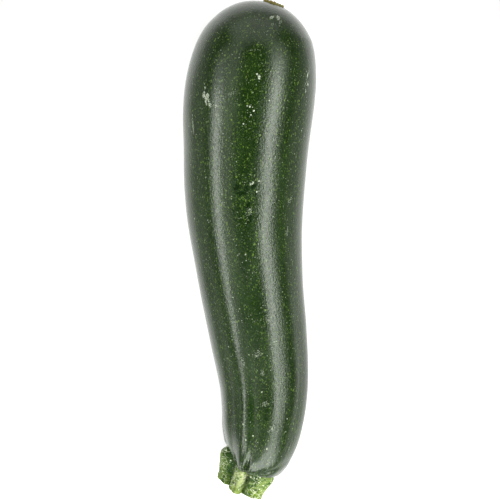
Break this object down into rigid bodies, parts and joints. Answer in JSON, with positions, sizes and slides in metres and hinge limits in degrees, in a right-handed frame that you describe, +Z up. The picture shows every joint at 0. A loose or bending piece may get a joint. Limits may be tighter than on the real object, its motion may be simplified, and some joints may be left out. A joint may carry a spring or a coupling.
{
  "type": "courgette",
  "caption": "Whole dark green courgette lying on its side, wider at the crown, with a cut stub of ridged stem and a small dry blossom scar.",
  "frame": {"origin": "on the surface that the courgette lies on, under the middle of its box", "axes": "+Z up, +Y along the fruit towards the crown with the blossom scar, -Y towards the stem"},
  "size_m": [0.0508, 0.19, 0.049],
  "materials": {
    "skin": "waxy dark green skin, medium gloss, with small light green flecks",
    "stem": "pale green, bristly and fibrous, cream on the ridges",
    "scar": "dry, brown and corky"
  },
  "bodies": {
    "root": {"fruit": "skin", "stem": "stem", "blossom_scar": "scar"}
  },
  "joints": []
}
